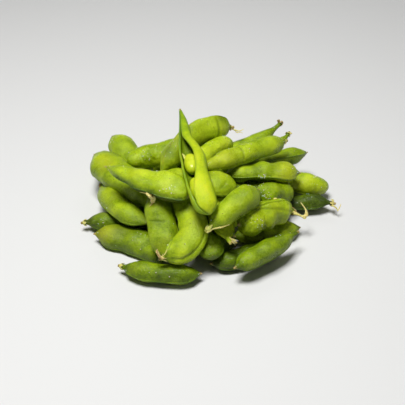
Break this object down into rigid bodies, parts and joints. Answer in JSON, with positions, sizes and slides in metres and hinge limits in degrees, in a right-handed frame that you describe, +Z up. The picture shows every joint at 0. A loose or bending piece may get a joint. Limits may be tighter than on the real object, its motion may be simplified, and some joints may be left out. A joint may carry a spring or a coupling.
{
  "type": "edamame pod bundle",
  "caption": "Loose heap of boiled edamame pods, plump and gently curved, with one pod on top split open along a seam over its beans.",
  "frame": {"origin": "bottom centre of the heap's bounding box, on the surface that the heap lies on", "axes": "+X along the heap's longest extent, +Y towards its back, over which the split pod's tip points, +Z up"},
  "size_m": [0.1454, 0.1208, 0.0541],
  "materials": {
    "pod": "satin",
    "split_pod": "satin",
    "bean": "glossy"
  },
  "bodies": {
    "root": {"base_pod_1": "pod", "base_pod_2": "pod", "base_pod_3": "pod", "base_pod_4": "pod", "base_pod_5": "pod", "base_pod_6": "pod", "base_pod_7": "pod", "lower_pod_1": "pod", "lower_pod_2": "pod", "lower_pod_3": "pod", "lower_pod_4": "pod", "lower_pod_5": "pod", "lower_pod_6": "pod", "lower_pod_7": "pod", "lower_pod_8": "pod", "upper_pod_1": "pod", "upper_pod_2": "pod", "upper_pod_3": "pod", "upper_pod_4": "pod", "upper_pod_5": "pod", "upper_pod_6": "pod", "upper_pod_7": "pod", "upper_pod_8": "pod", "top_pod_1": "pod", "top_pod_2": "pod", "top_pod_3": "pod", "top_pod_4": "pod", "core_pod_01": "pod", "core_pod_02": "pod", "core_pod_03": "pod", "core_pod_04": "pod", "core_pod_05": "pod", "core_pod_06": "pod", "core_pod_07": "pod", "core_pod_08": "pod", "core_pod_09": "pod", "core_pod_10": "pod", "core_pod_11": "pod", "core_pod_12": "pod", "core_pod_13": "pod", "core_pod_14": "pod", "core_pod_15": "pod", "core_pod_16": "pod", "core_pod_17": "pod", "core_pod_18": "pod", "core_pod_19": "pod", "core_pod_20": "pod", "split_pod": "split_pod", "split_pod_bean_1": "bean", "split_pod_bean_2": "bean"}
  },
  "joints": []
}
